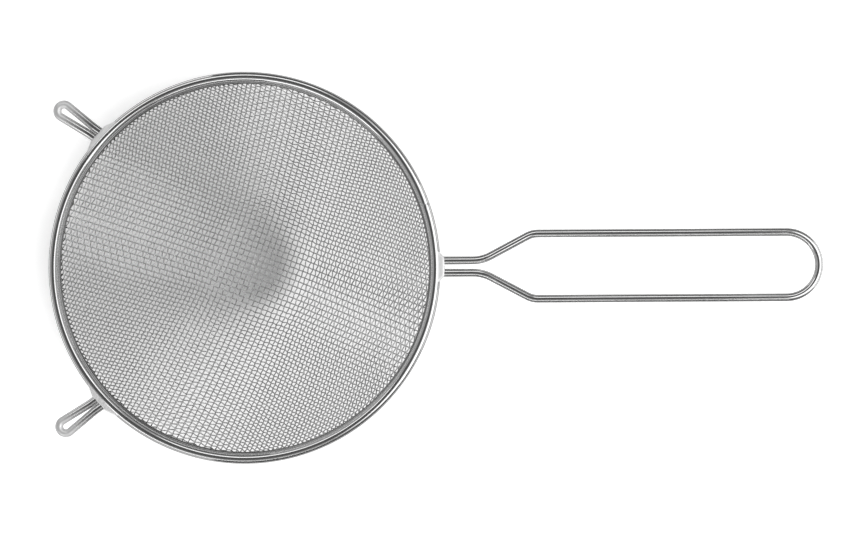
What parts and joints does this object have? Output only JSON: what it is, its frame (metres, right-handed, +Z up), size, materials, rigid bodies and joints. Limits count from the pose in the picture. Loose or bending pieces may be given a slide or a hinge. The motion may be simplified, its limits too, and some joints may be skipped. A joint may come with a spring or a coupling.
{
  "type": "conical strainer",
  "caption": "Conical kitchen strainer: woven wire cone in a round wire ring with a long wire handle and hairpin rest loops.",
  "frame": {"origin": "centre of the rim, on the plane that the undersides of the ring, the handle and the rest loops lie on", "axes": "+X along the handle away from the rim, +Z up out of the open mouth, tip of the cone down; the front with the rest loops is at -X"},
  "size_m": [0.3953, 0.2, 0.1324],
  "materials": {
    "wire_cloth": "drawn and woven fine wire, slightly dull",
    "hoop_strip": "rolled strip, satin",
    "round_wire": "bright drawn wire, lightly worn",
    "weld_metal": "smooth fused weld metal, satin"
  },
  "bodies": {
    "root": {"mesh_cone": "wire_cloth", "rim_hoop": "hoop_strip", "ring_wire": "round_wire", "handle_wire": "round_wire", "rest_loop_left": "round_wire", "rest_loop_right": "round_wire", "handle_weld": "weld_metal", "rest_weld_left": "weld_metal", "rest_weld_right": "weld_metal", "hoop_tacks": "weld_metal"}
  },
  "joints": []
}
